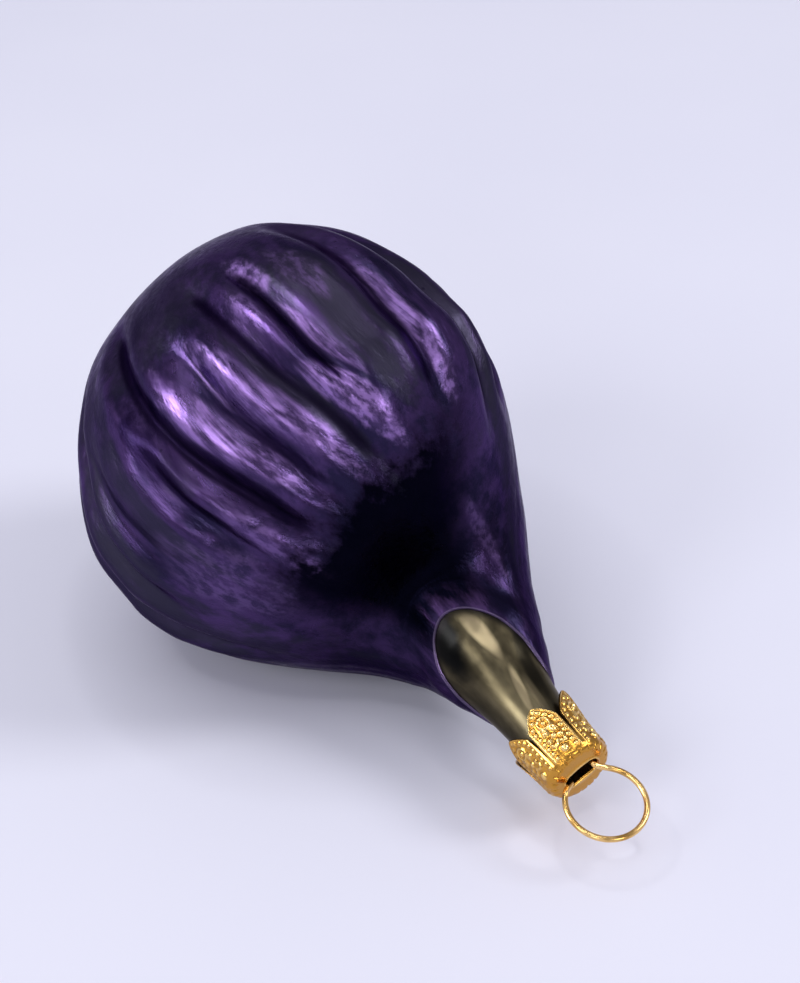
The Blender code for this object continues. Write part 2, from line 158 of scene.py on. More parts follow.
# The stamped relief: beads along a petal's edge, its smooth rim and the motifs on its middle
BEAD_PITCH, BEAD_RADIUS, BEAD_HEIGHT = 0.92, 0.42, 0.26
BEAD_INSET = 0.66
BEADS_FROM, BEADS_TOP = 0.2, CAP_LENGTH - SHOULDER_ROUND - 0.1
EDGE_SAMPLES = 60
EDGE_SLANT = 0.8  # distance from a slanting edge, as a share of the height over it
RIM_INSET, RIM_WIDTH, RIM_HEIGHT = 0.1, 0.2, 0.2
RING_MOTIF, STAR_MOTIF, DOME_MOTIF = 2.8, 5.1, 7.5  # how high on the petal each stands
BAND_RADIUS, BAND_WIDTH, BAND_HEIGHT = 0.84, 0.2, 0.34
RAYS = 5
RAY_RADIUS, RAY_WIDTH, RAY_HEIGHT = 1.0, 0.4, 0.32
RING_DOME, STAR_DOME, PLAIN_DOME = (0.42, 0.42), (0.5, 0.45), (0.7, 0.55)  # radius, height
CURLS = [(0.95, 4.1, 0.5), (1.05, 6.3, -0.5), (0.55, 6.45, 0.9), (0.6, 3.75, -0.9)]  # across, height, lean
CURL_LENGTH, CURL_WIDTH, CURL_HEIGHT = 0.48, 0.26, 0.34
DOME_PROFILE = 0.8  # below 1, a dome is fuller than a paraboloid
DENTS, DENT_DEPTH = 22, 0.16  # fine pleats round the cap's shoulder
DENT_BEND, DENT_SPREAD = 60, 22  # degrees down the shoulder
SLOT_ROLL, SLOT_ROLL_AT, SLOT_ROLL_SPREAD = 0.2, 0.86, 0.1  # the raised edge round the slot
SLOT_SINK, SLOT_SINK_FROM = 0.12, 0.96  # and its inner lip

# Wire hanger
WIRE = 0.85
RING_RADIUS = 5.56
RING_CENTRE = 5.55  # from the cap's end face
RING_DROOP = 8.5
RING_ROLL = -6.6
LEG_SPREAD = 2.75
LEG_DEPTHS = (6.0, 4.0, 1.8, 0.0)  # below the end face
LEG_HALF_GAPS = (LEG_SPREAD, 2.55, 2.1, 2.0)
RING_TURNS = range(140, -1, -10)  # from where a leg meets the ring to the far side
PATH_POINTS, DENSE_POINTS = 241, 800

# Camera, fitted to the photo
CAMERA_AT = (0.19631, -0.16252, 0.19008)  # in metres
AZIMUTH_DEG, ELEVATION_DEG = 47.09, 33.0
FOCAL_PX = 2000.0
PHOTO_WIDTH, PHOTO_HEIGHT = 800, 983
SENSOR_MM = 36.0


def smooth_curve(points, at):
    """The smooth curve through (x, y) points that never overshoots them."""
    x, y = np.array(points, float).T
    width = np.diff(x)
    slope = np.diff(y) / width
    tangent = np.zeros(len(x))
    tangent[0], tangent[-1] = slope[0], slope[-1]
    for i in range(1, len(x) - 1):
        before, after = slope[i - 1], slope[i]
        if before * after > 0:
            far, near = 2 * width[i] + width[i - 1], width[i] + 2 * width[i - 1]
            tangent[i] = (far + near) / (far / before + near / after)
    at = np.clip(at, x[0], x[-1])
    i = np.clip(np.searchsorted(x, at, side="right") - 1, 0, len(width) - 1)
    t = (at - x[i]) / width[i]
    start = (1 + 2 * t) * (1 - t) ** 2 * y[i] + t * (1 - t) ** 2 * width[i] * tangent[i]
    end = t * t * (3 - 2 * t) * y[i + 1] + t * t * (t - 1) * width[i] * tangent[i + 1]
    return start + end


def ease(share):
    share = np.clip(share, 0, 1)
    return share * share * (3 - 2 * share)


def bell(distance, width):
    return np.exp(-((distance / width) ** 2))


def run_lengths(points):
    """The way from the first point to each, along the line through all of them."""
    return np.concatenate([[0], np.cumsum(np.linalg.norm(np.diff(points, axis=0), axis=1))])


class Axis:
    """Points and directions along the bent axis."""

    def __init__(self):
        self.stations = np.arange(AXIS_START, AXIS_END + AXIS_STEP, AXIS_STEP)
        tilt = np.radians(np.interp(self.stations, *np.array(TILT_DEG, float).T))
        forward, drop = self.summed(np.cos(tilt)), -self.summed(np.sin(tilt))
        line = np.stack([forward, smooth_curve(SIDEWAYS, self.stations), drop], 1)
        body = np.array([math.cos(tilt[0]), 0, -math.sin(tilt[0])])
        share = np.clip(self.stations / SETTLED_AXIS, 0, 1)[:, None]
        along = body * (1 - share) + np.gradient(line, self.stations, axis=0) * share
        self.along = along / np.linalg.norm(along, axis=1)[:, None]
        side = np.cross([0.0, 0.0, 1.0], self.along)
        self.side = side / np.linalg.norm(side, axis=1)[:, None]
        self.up = np.cross(self.along, self.side)
        self.line = line + [-REST_POINT[0], -REST_POINT[1], REST_HEIGHT]

    def summed(self, slope):
        total = np.concatenate([[0], np.cumsum((slope[1:] + slope[:-1]) / 2 * AXIS_STEP)])
        return total - np.interp(0, self.stations, total)

    def pick(self, table, station):
        return np.stack([np.interp(station, self.stations, table[:, k]) for k in range(3)], -1)

    def point(self, station, angle, radius):
        up, side = self.pick(self.up, station), self.pick(self.side, station)
        out = np.cos(angle)[..., None] * up + np.sin(angle)[..., None] * side
        return self.pick(self.line, station) + np.asarray(radius)[..., None] * out


AXIS = Axis()


def all_furrows():
    """The furrows that show, then irregular ones round the far side, sorted by angle."""
    draw = random.Random(SEED)
    gap = (HIDDEN_TO - HIDDEN_FROM) / (HIDDEN_FURROWS - 1)
    found = list(VISIBLE_FURROWS)
    for i in range(HIDDEN_FURROWS):
        angle = HIDDEN_FROM + gap * (i + draw.uniform(-0.2, 0.2))
        turn, depth = draw.uniform(-0.12, 0.12), draw.uniform(0.8, 1.6)
        half_width = draw.uniform(1.6, 2.3)
        first, last = draw.uniform(-28, -14), draw.uniform(16, 29)
        found.append((angle, turn, depth, half_width, first, last))
    return sorted(found)


FURROWS = all_furrows()


def furrow_angle(furrow, line):
    """Angle of a furrow's bottom, in radians. The furrows turn a little round the form."""
    return np.radians(furrow[0] + furrow[1] * np.clip(line, AXIS_START, TURNING_ENDS))


def pleat_angles(line, shares):
    """Angles of the mesh lines, which follow the furrows."""
    angles = []
    for i, furrow in enumerate(FURROWS):
        start = furrow_angle(furrow, line)
        end = furrow_angle(FURROWS[(i + 1) % len(FURROWS)], line)
        end = end + (2 * math.pi if i == len(FURROWS) - 1 else 0)
        angles += [start + (end - start) * share for share in shares]
    return np.stack(angles, -1)


def furrow_height(line, angle, radius):
    """Height of all furrows and their shoulders over the plain form."""
    height = np.zeros(np.broadcast(line, angle).shape)
    for furrow in FURROWS:
        depth, half_width, first, last = furrow[2:]
        turn = (angle - furrow_angle(furrow, line) + math.pi) % (2 * math.pi) - math.pi
        across = turn * radius / half_width
        fade = ease((line - first) / FADE_IN) * ease((last - line) / FADE_OUT)
        shoulders = bell(np.abs(across) - SHOULDER_OFFSET, 1)
        height += depth * fade * (SHOULDER * shoulders - bell(across, 1))
    return height


def lip_station(angle):
    """Station of the slanting lip, which is lowest at its apex."""
    turn = angle - math.radians(LIP_APEX_ANGLE)
    return LIP_APEX + LIP_REACH * np.tanh(LIP_SHARPNESS * np.sin(turn / 2) ** 2)


def purple_radius(line):
    """Radius of the bulb and neck: a rounded back, then the curve through its radii."""
    behind = np.abs(np.minimum(line, 0)) / BACK_LENGTH
    back = PURPLE_RADII[0][1] * np.maximum(1 - behind**BACK_POWER, 0) ** (1 / BACK_POWER)
    return np.where(line < 0, back, smooth_curve(PURPLE_RADII, np.maximum(line, 0)))


def lobes(line, angle):
    """Share by which the bulb is out of round."""
    height = sum(size * np.cos(count * (angle - math.radians(turn))) for count, size, turn in LOBES)
    height = height * ease((LOBES_TO - line) / (LOBES_TO - LOBES_FROM))
    lean, lean_angle = BACK_LEAN
    share = np.clip((LEAN_BACK_START - line) / LEAN_BACK_LENGTH, 0, 1)
    return height + share * lean * np.cos(angle - math.radians(lean_angle))


def bumps(line, angle):
    """The glass is a little fuller or flatter here and there."""
    total = 0.0
    for height, station, length, middle, width in BUMPS:
        turn = (np.degrees(angle) - middle + 180) % 360 - 180
        total = total + height * bell(line - station, length) * bell(turn, width)
    return total


def form(line, angle):
    """Station and radius of the bulb and neck, without furrows. Near the lip the lines lean with it."""
    share = ease((line - LEAN_START) / (LIP_LINE - LEAN_START))
    station = line - (LIP_LINE - lip_station(angle)) * share
    cover = purple_radius(line) - smooth_curve(STEM_RADII, line)
    radius = smooth_curve(STEM_RADII, station) + cover
    return station, radius * (1 + lobes(line, angle)) + bumps(line, angle)


def soft_noise(line, angle, length, pitch_deg, seed):
    """Smooth random heights between -1 and 1, seamless round the form."""
    columns = round(360 / pitch_deg)
    table = np.random.RandomState(seed).uniform(-1, 1, (NOISE_ROWS, columns))
    row = (line - NOISE_START) / length
    column = np.degrees(angle) % 360 / 360 * columns
    row_low, column_low = np.floor(row).astype(int), np.floor(column).astype(int)
    u, v = ease(row - row_low), ease(column - column_low)

    def value(i, j):
        return table[(row_low + i) % NOISE_ROWS, (column_low + j) % columns]

    near = value(0, 0) * (1 - v) + value(0, 1) * v
    far = value(1, 0) * (1 - v) + value(1, 1) * v
    return near * (1 - u) + far * u


def placed(name, data):
    made = bpy.data.objects.new(name, data)
    bpy.context.scene.collection.objects.link(made)
    return made


class Shell:
    """A closed mesh made of rings of points, each joined to the next. Every point has four values."""

    def __init__(self):
        self.points, self.faces, self.values = [], [], []
        self.count = 0
        self.last = None

    def ring(self, points, values=None):
        points = np.asarray(points, float)
        start, size = self.count, len(points)
        self.points.append(points)
        self.values.append(np.zeros((size, 4)) if values is None else values)
        self.count += size
        if self.last:
            self.join(*self.last, start, size)
        self.last = (start, size)

    def join(self, one, one_size, two, two_size):
        if one_size < two_size:
            one, one_size, two, two_size = two, two_size, one, one_size
        times = one_size // two_size
        for j in range(two_size):
            near, far = two + j, two + (j + 1) % two_size
            chain = [one + (j * times + k) % one_size for k in range(times + 1)]
            if times == 1:
                self.faces.append((near, far, chain[1], chain[0]))
                continue
            for k in range(times):
                self.faces.append((chain[k], chain[k + 1], near if k < times // 2 else far))
            self.faces.append((near, far, chain[times // 2]))

    def fan(self, start, size, point, line=0.0):
        """Closes a ring of that size with one point."""
        self.points.append(np.array([point], float))
        self.values.append(np.array([(line, 0, 0, 0)], float))
        for j in range(size):
            self.faces.append((start + j, start + (j + 1) % size, self.count))
        self.count += 1

    def piece(self, name, surface, sharp_deg=50):
        """The mesh as an object. Its values become the attributes flow and relief."""
        mesh = bpy.data.meshes.new(name)
        points = np.concatenate(self.points) * MM
        mesh.from_pydata(points.tolist(), [], self.faces)
        bm = bmesh.new()
        bm.from_mesh(mesh)
        bmesh.ops.recalc_face_normals(bm, faces=bm.faces)
        bm.to_mesh(mesh)
        bm.free()
        values = np.concatenate(self.values)
        flow = mesh.attributes.new("flow", "FLOAT_VECTOR", "POINT")
        flow.data.foreach_set("vector", values[:, :3].ravel())
        relief = mesh.attributes.new("relief", "FLOAT", "POINT")
        relief.data.foreach_set("value", values[:, 3].copy())
        mesh.shade_smooth()
        mesh.set_sharp_from_angle(angle=math.radians(sharp_deg))
        mesh.materials.append(surface)
        return placed(name, mesh)


def dressed(piece, node):
    """Puts a piece in the place of a node."""
    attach(piece, "root")
    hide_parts(node)


def pleat_shares():
    """Shares of the way between two furrows, closer together at the furrows."""
    steps = np.arange(PLEAT_STEPS) / PLEAT_STEPS
    return list(steps - CROWDING * np.sin(2 * math.pi * steps) / (2 * math.pi))


def flow_values(line, angle, radius, relief):
    """Place in millimetres along and across the form, and the relief."""
    return np.stack([np.full(len(angle), line), radius * np.cos(angle), radius * np.sin(angle), relief], 1)


def bulb_ring(line):
    """Points and values of one ring of the bulb. The flat spot is cut level with the surface."""
    angle = pleat_angles(line, pleat_shares())
    lines = np.full(len(angle), line)
    station, radius = form(lines, angle)
    lip = max(line - (LIP_LINE - LIP_ROUND), 0) / LIP_ROUND
    stem = smooth_curve(STEM_RADII, station)
    radius = stem + (radius - stem) * math.sqrt(max(1 - lip**2, 0)) - LIP_SINK * lip**4
    height = furrow_height(lines, angle, radius)
    fade = ease((line - RIPPLES_FROM) / RIPPLES_IN) * ease((RIPPLES_TO - line) / RIPPLES_OUT)
    ripple = sum(size * soft_noise(lines, angle, *kind) for size, *kind in BULB_RIPPLES)
    points = AXIS.point(station, angle, radius + height + ripple * fade)
    points[:, 2] = np.maximum(points[:, 2], 0)
    return points, flow_values(line, angle, radius, height)


def fig_bulb(surface):
    """The purple bulb and neck, open at the lip where it clasps the stem."""
    shell = Shell()
    back = -BACK_LENGTH * np.cos(np.radians(BACK_ROWS))
    bulb, neck = np.arange(0, NECK_START, BULB_STEP), np.arange(NECK_START, LIP_LINE - LIP_ROUND, NECK_STEP)
    lip = LIP_LINE - LIP_ROUND * np.cos(np.radians(LIP_ROWS))
    for line in (*back, *bulb, *neck, *lip):
        shell.ring(*bulb_ring(float(line)))
    for line in INNER_ROWS:
        angle = pleat_angles(line, INNER_SHARES)
        lines = np.full(len(angle), float(line))
        station, radius = form(lines, angle)
        radius = radius + furrow_height(lines, angle, radius) - WALL
        shell.ring(AXIS.point(station, angle, radius))
    shell.fan(*shell.last, AXIS.pick(AXIS.line, INNER_POLE))
    shell.fan(0, len(FURROWS) * PLEAT_STEPS, AXIS.pick(AXIS.line, -BACK_LENGTH), -BACK_LENGTH)
    dressed(shell.piece("fig_bulb", surface), "glass_fig")


def stem_ring(station, inset=0.0):
    """Points and values of one ring of the stem. Its relief is the distance past the lip, 0 inside."""
    angle = np.arange(STEM_COLUMNS) * 2 * math.pi / STEM_COLUMNS
    stations = np.full(STEM_COLUMNS, station)
    size, *kind = STEM_RIPPLE
    radius = smooth_curve(STEM_RADII, stations) + size * soft_noise(stations, angle, *kind) - inset
    past_lip = np.zeros(STEM_COLUMNS) if inset else station - lip_station(angle)
    return AXIS.point(stations, angle, radius), flow_values(station, angle, radius, past_lip)


def fig_stem(surface):
    """The olive stem, a tube with an open mouth inside the cap."""
    shell = Shell()
    for station in np.arange(STEM_START, MOUTH + STEM_STEP / 2, STEM_STEP):
        shell.ring(*stem_ring(station))
    shell.ring(*stem_ring(MOUTH + MOUTH_ROUND, STEM_WALL / 2))
    for station in STEM_INNER_ROWS:
        shell.ring(*stem_ring(station, STEM_WALL))
    shell.fan(*shell.last, AXIS.pick(AXIS.line, STEM_INNER_ROWS[-1]))
    shell.fan(0, STEM_COLUMNS, AXIS.pick(AXIS.line, STEM_START))
    dressed(shell.piece("fig_stem", surface), "glass_fig")


def from_petal(turn_deg):
    return (turn_deg + PETAL_PITCH / 2) % PETAL_PITCH - PETAL_PITCH / 2


def petal_number(turn_deg):
    return ((turn_deg + PETAL_PITCH / 2) % 360 // PETAL_PITCH).astype(int)


def plain_edge(turn_deg):
    """Height of a plain petal's edge, over its point."""
    share = np.abs(from_petal(turn_deg)) / PETAL_SIDE
    slit = PETAL_TIP + (SLIT_TOP - PETAL_TIP) * (share - 1) * PETAL_SIDE / SLIT_HALF_DEG
    return np.where(share <= 1, PETAL_TIP * share**POINT_POWER, slit)


def reach_at(turn_deg):
    share = np.minimum(np.abs(from_petal(turn_deg)) / PETAL_SIDE, 1)
    return PETAL_REACHES[petal_number(turn_deg)] * (1 - share**2)


def bead_places():
    """Bead centres, as (across, height) on one petal, in a row that follows its edge."""
    side = math.radians(PETAL_SIDE) * CAP_RADIUS
    across = np.linspace(-side, side, EDGE_SAMPLES)
    edge = list(zip(across, plain_edge(np.degrees(across / CAP_RADIUS))))
    outline = np.array([(-side, BEADS_TOP), *edge, (side, BEADS_TOP)])
    steps = np.diff(outline, axis=0)
    normal = np.stack([-steps[:, 1], steps[:, 0]], 1) / np.linalg.norm(steps, axis=1)[:, None]
    inner = (outline[1:] + outline[:-1]) / 2 + normal * BEAD_INSET
    inner_side = side - BEAD_INSET
    inner = np.array([(-inner_side, BEADS_TOP), *inner[1:-1], (inner_side, BEADS_TOP)])
    run = run_lengths(inner)
    at = np.arange(BEADS_FROM, run[-1], BEAD_PITCH)
    return [(np.interp(x, run, inner[:, 0]), np.interp(x, run, inner[:, 1])) for x in at]


BEADS = bead_places()


def dome_height(distance, radius, height):
    return height * np.maximum(1 - (distance / radius) ** 2, 0) ** DOME_PROFILE


def embossing(turn_deg, height):
    """Height of the stamped relief on the cap's side, shallower on some petals."""
    height = height + reach_at(turn_deg) * np.maximum(1 - height / FLARE_TOP, 0)
    across = np.radians(from_petal(turn_deg)) * CAP_RADIUS
    side = math.radians(PETAL_SIDE) * CAP_RADIUS - np.abs(across)
    from_edge = np.minimum((height - plain_edge(turn_deg)) * EDGE_SLANT, side)
    reliefs = [RIM_HEIGHT * bell(from_edge - RIM_INSET, RIM_WIDTH)]
    for u, h in BEADS:
        reliefs.append(dome_height(np.hypot(across - u, height - h), BEAD_RADIUS, BEAD_HEIGHT))
    from_ring = np.hypot(across, height - RING_MOTIF)
    reliefs.append(BAND_HEIGHT * bell(from_ring - BAND_RADIUS, BAND_WIDTH))
    reliefs.append(dome_height(from_ring, *RING_DOME))
    from_star = np.hypot(across, height - STAR_MOTIF)
    rays = 0.5 + 0.5 * np.cos(RAYS * np.arctan2(across, height - STAR_MOTIF))
    reliefs.append(RAY_HEIGHT * rays * bell(from_star - RAY_RADIUS, RAY_WIDTH))
    reliefs.append(dome_height(from_star, *STAR_DOME))
    reliefs.append(dome_height(np.hypot(across, height - DOME_MOTIF), *PLAIN_DOME))
    for u, h, lean in CURLS:
        away, up = np.abs(across) - u, height - h
        along = up * math.cos(lean) + away * math.sin(lean)
        beside = away * math.cos(lean) - up * math.sin(lean)
        reliefs.append(CURL_HEIGHT * bell(along, CURL_LENGTH) * bell(beside, CURL_WIDTH))
    return np.max(reliefs, axis=0) * PETAL_RELIEF[petal_number(turn_deg)]


def slot_radius(turn_deg):
    """Distance from the end face's middle to the slot's edge, in the direction of the turn."""
    turn = np.radians(turn_deg)
    long_way, short_way = np.abs(np.sin(turn)), np.abs(np.cos(turn))
    straight = SLOT_HALF_LENGTH - SLOT_HALF_WIDTH
    flat = SLOT_HALF_WIDTH / np.maximum(short_way, 1e-6)
    inside = np.maximum(SLOT_HALF_WIDTH**2 - (straight * short_way) ** 2, 0)
    round_end = straight * long_way + np.sqrt(inside)
    return np.where(flat * long_way <= straight, flat, round_end)


def cap_frame():
    """The middle of the cap's end face, then the directions along, up and to the side of the cap."""
    along, up, side = (AXIS.pick(table, CAP_SETTLED) for table in (AXIS.along, AXIS.up, AXIS.side))
    return AXIS.pick(AXIS.line, CAP_END), along, up, side


def crown_cap(surface):
    """The stamped cap, with its slot and its embossed petals."""
    end, along, up, side = cap_frame()
    inside = np.linspace(-PETAL_SIDE, PETAL_SIDE, PETAL_COLUMNS - 1)
    one_petal = np.array([*inside, PETAL_PITCH / 2])
    turns = np.concatenate([PETAL_PITCH * petal + one_petal for petal in range(PETALS)])
    edge = plain_edge(turns) - reach_at(turns)
    wall_top = CAP_LENGTH - SHOULDER_ROUND

    def place(height, radius):
        turn = np.radians(turns + CAP_ROLL)
        out = up * np.cos(turn)[:, None] + side * np.sin(turn)[:, None]
        return end - np.outer(CAP_LENGTH - height, along) + out * np.reshape(radius, (-1, 1))

    def wall_radius(height):
        flare = PETAL_FLARES[petal_number(turns)] * np.maximum(1 - height / FLARE_TOP, 0) ** 2
        return CAP_RADIUS - CAP_TAPER * height / CAP_LENGTH + flare

    def values(relief):
        """The cap's points carry their relief alone."""
        table = np.zeros((len(turns), 4))
        table[:, 3] = relief
        return table

    end_radius = CAP_RADIUS - CAP_TAPER
    shell = Shell()
    shell.ring(place(CAP_LENGTH - CAP_WALL, slot_radius(turns)), values(0))
    shell.ring(place(CAP_LENGTH - CAP_WALL, end_radius - SHOULDER_ROUND), values(0))
    for share in INSIDE_SHARES:
        height = edge * (1 - share) + (wall_top - CAP_WALL) * share
        shell.ring(place(height, wall_radius(height) - CAP_WALL), values(0))
    for share in OUTSIDE_SHARES:
        height = edge * (1 - share) + wall_top * share
        relief = embossing(turns, height) * ease(share / RELIEF_STARTS)
        shell.ring(place(height, wall_radius(height) + relief), values(relief))
    dents = DENT_DEPTH * np.maximum(np.cos(np.radians(turns * DENTS)), 0) ** 3
    for bend in SHOULDER_BENDS:
        lift = SHOULDER_ROUND * math.sin(math.radians(bend))
        inward = SHOULDER_ROUND * (1 - math.cos(math.radians(bend)))
        dent = dents * bell(bend - DENT_BEND, DENT_SPREAD)
        shell.ring(place(wall_top + lift - dent, end_radius - inward - dent), values(-dent))
    slot_edge, shoulder = slot_radius(turns), end_radius - SHOULDER_ROUND
    for share in FACE_SHARES:
        radius = shoulder + (slot_edge - shoulder) * share
        roll = SLOT_ROLL * bell(share - SLOT_ROLL_AT, SLOT_ROLL_SPREAD)
        roll = roll - SLOT_SINK * ease((share - SLOT_SINK_FROM) / (1 - SLOT_SINK_FROM))
        shell.ring(place(CAP_LENGTH + roll, radius), values(max(roll, 0)))
    shell.join(*shell.last, 0, len(turns))
    dressed(shell.piece("cap_shell", surface, sharp_deg=70), "crown_cap")


def smooth_path(knots, count):
    """Points at even distances along the smooth curve through the knots."""
    knots = np.array(knots)
    length = run_lengths(knots)
    dense = np.linspace(0, length[-1], DENSE_POINTS)
    curve = np.stack([smooth_curve(list(zip(length, row)), dense) for row in knots.T], 1)
    run = run_lengths(curve)
    even = np.linspace(0, run[-1], count)
    return np.stack([np.interp(even, run, row) for row in curve.T], 1)


def wire_ring(surface):
    """The wire: two legs spread inside the stem, out through the slot and round in a ring."""
    end, along, up, side = cap_frame()

    def directions(roll_deg, droop_deg):
        roll, droop = math.radians(roll_deg), math.radians(droop_deg)
        across = side * math.cos(roll) - up * math.sin(roll)
        facing = up * math.cos(roll) + side * math.sin(roll)
        return across, along * math.cos(droop) - facing * math.sin(droop)

    slot_across, _ = directions(CAP_ROLL, 0)
    ring_across, ring_out = directions(RING_ROLL, RING_DROOP)
    centre = end + ring_out * RING_CENTRE
    half = []
    for depth, half_gap in zip(LEG_DEPTHS, LEG_HALF_GAPS):
        half.append((end - along * depth, slot_across, half_gap))
    for turn in RING_TURNS:
        angle = math.radians(turn)
        base = centre + ring_out * RING_RADIUS * math.cos(angle)
        half.append((base, ring_across, RING_RADIUS * math.sin(angle)))
    right = [base + direction * offset for base, direction, offset in half]
    left = [base - direction * offset for base, direction, offset in half[:-1]]
    path = smooth_path(right + left[::-1], PATH_POINTS)

    curve = bpy.data.curves.new("wire_ring", "CURVE")
    curve.dimensions = "3D"
    curve.bevel_depth = WIRE / 2 * MM
    curve.bevel_resolution = 8
    curve.use_fill_caps = True
    spline = curve.splines.new("POLY")
    spline.points.add(len(path) - 1)
    for point, place in zip(spline.points, path):
        point.co = (*(place * MM), 1)
    spline.use_smooth = True
    curve.materials.append(surface)
    dressed(placed("wire_ring", curve), "wire_hanger")


class Look:
    """A procedural material, built node by node."""

    def __init__(self, name):
        self.material = bpy.data.materials.new(name)
        self.material.use_nodes = True
        self.tree = self.material.node_tree
        self.shader = self.tree.nodes["Principled BSDF"]

    def put(self, socket, value):
        if isinstance(value, bpy.types.NodeSocket):
            self.tree.links.new(value, socket)
        elif isinstance(value, tuple) and len(value) == 3 and socket.type == "RGBA":
            socket.default_value = (*value, 1)
        else:
            socket.default_value = value

    def node(self, kind, **inputs):
        made = self.tree.nodes.new("ShaderNode" + kind)
        for name, value in inputs.items():
            self.put(made.inputs[name.replace("_", " ")], value)
        return made

    def attribute(self, name, output):
        made = self.tree.nodes.new("ShaderNodeAttribute")
        made.attribute_name = name
        return made.outputs[output]

    def math(self, operation, one, two=0.0):
        made = self.tree.nodes.new("ShaderNodeMath")
        made.operation = operation
        self.put(made.inputs[0], one)
        self.put(made.inputs[1], two)
        return made.outputs[0]

    def add(self, one, two):
        return self.math("ADD", one, two)

    def take(self, one, two):
        return self.math("SUBTRACT", one, two)

    def times(self, one, two):
        return self.math("MULTIPLY", one, two)

    def larger(self, one, two):
        return self.math("MAXIMUM", one, two)

    def span(self, value, low, high, start=0.0, end=1.0):
        """The value's way from low to high, smoothed, as start to end."""
        made = self.node("MapRange", Value=value, From_Min=low, From_Max=high, To_Min=start, To_Max=end)
        made.interpolation_type = "SMOOTHSTEP"
        return made.outputs[0]

    def mix(self, share, one, two):
        made = self.tree.nodes.new("ShaderNodeMix")
        made.data_type = "RGBA"
        self.put(made.inputs["Factor"], share)
        self.put(made.inputs["A"], one)
        self.put(made.inputs["B"], two)
        return made.outputs["Result"]

    def stretched(self, vector, scale):
        return self.node("Mapping", Vector=vector, Scale=scale).outputs[0]

    def noise(self, vector, scale, detail=3.0, rough=0.55):
        return self.node("TexNoise", Vector=vector, Scale=scale, Detail=detail, Roughness=rough).outputs[0]

    def bump(self, height, distance, strength=1.0):
        return self.node("Bump", Height=height, Distance=distance, Strength=strength).outputs[0]

    def dress(self, **inputs):
        for name, value in inputs.items():
            self.put(self.shader.inputs[name.replace("_", " ")], value)
        return self.material


# Colours of the lacquers, the metals and the table
PURPLE_DARK, PURPLE_LIGHT = (0.012, 0.008, 0.037), (0.058, 0.029, 0.114)
FILM_GREY = (0.033, 0.030, 0.050)
# A painted highlight
HIGHLIGHT_LILAC = (0.25, 0.145, 0.41)
# Painted shade
SHADE_PLUM = (0.010, 0.005, 0.026)
SPECK_PLUM = (0.008, 0.004, 0.02)
# A painted dark reflection
REFLECTION_BLACK = (0.001, 0.0012, 0.004)
# Painted sheen on the neck
NECK_SHEEN = (0.11, 0.055, 0.18)
# A painted highlight along the lip's edge
LIP_HIGHLIGHT = (0.20, 0.15, 0.26)
# Painted shade in the furrows' creases
CREASE_SHADE = (0.003, 0.0015, 0.009)
PURPLE_SHEEN = (0.50, 0.45, 0.60)
OLIVE_DARK, OLIVE_LIGHT = (0.054, 0.045, 0.027), (0.110, 0.091, 0.053)
# A painted highlight on the stem
OLIVE_HIGHLIGHT = (0.37, 0.302, 0.18)
# Painted shade and dark reflections on the stem
OLIVE_SHADE = (0.006, 0.006, 0.006)
LIP_SHADE = (0.010, 0.009, 0.010)
OLIVE_SHEEN = (0.75, 0.72, 0.66)
# The low gold is painted shade in the cap's recesses
GOLD_RECESS_SHADE, GOLD_HIGH, GOLD_TARNISH = (0.56, 0.28, 0.045), (0.95, 0.66, 0.24), (0.55, 0.27, 0.05)
WIRE_DARK, WIRE_LIGHT = (0.58, 0.33, 0.09), (0.88, 0.58, 0.23)
TABLE_COLOURS = (0.80, 0.80, 0.925), (0.82, 0.82, 0.94)

# Painted highlights where the lacquer is lighter lilac, where a matte film lies, and painted shade where it
# is darker plum.
# Each place has its line, length, angle, width, the angle's drift a millimetre, and its strength
HIGHLIGHT_PLACES = [
    (2, 13, -50.0, 4.5, 0.42, 1.0),
    (4, 14, -36.0, 5.0, 0.42, 0.8),
    (11.5, 7, -18.6, 3.8, 0.45, 1.2),
    (1.5, 7, -15.2, 1.3, 0.2, 0.7),
    (4, 16, 4.8, 2.6, 0.05, 0.85),
    (-14, 4.5, -17.0, 3.5, 0.0, 0.6),
    (-9, 6, -8.0, 4.0, 0.0, 0.35),
    (-8, 4, -24.5, 3.0, 0.0, 0.5),
    (18, 12, -63.0, 4.0, 0.0, 0.4),
    (25, 3, -62.5, 2.5, 0.0, 0.8),
    (17, 9, -82.0, 9.0, 0.0, 0.25),
    (36, 5, 15.0, 6.0, 2.5, 0.5),
]
FILM_PLACES = [
    (-1, 16, -8.0, 7.5, 0.15, 0.9),
    (6, 18, -28.5, 3.0, 0.35, 0.8),
    (-20, 8, -50.0, 30.0, 0.0, 0.7),
    (-14, 14, -92.0, 14.0, 0.0, 0.9),
    (10, 26, -110.0, 16.0, 0.0, 0.8),
    (26, 16, 34.0, 10.0, 1.0, 0.9),
    (-2, 24, 45.0, 20.0, 0.0, 0.7),
    (6, 16, 23.0, 6.0, 0.2, 0.9),
    (-3, 18, -80.0, 6.0, 0.0, 0.6),
]
SHADE_PLACES = [
    (-1, 10, -67.0, 6.0, 0.2, 0.9),
    (-20, 7, -62.0, 8.0, 0.0, 0.6),
    (6, 10, -55.5, 2.0, 0.4, 0.7),
    (8, 10, -42.0, 1.5, 0.4, 0.7),
    (-6, 10, -30.0, 2.0, 0.3, 0.5),
]

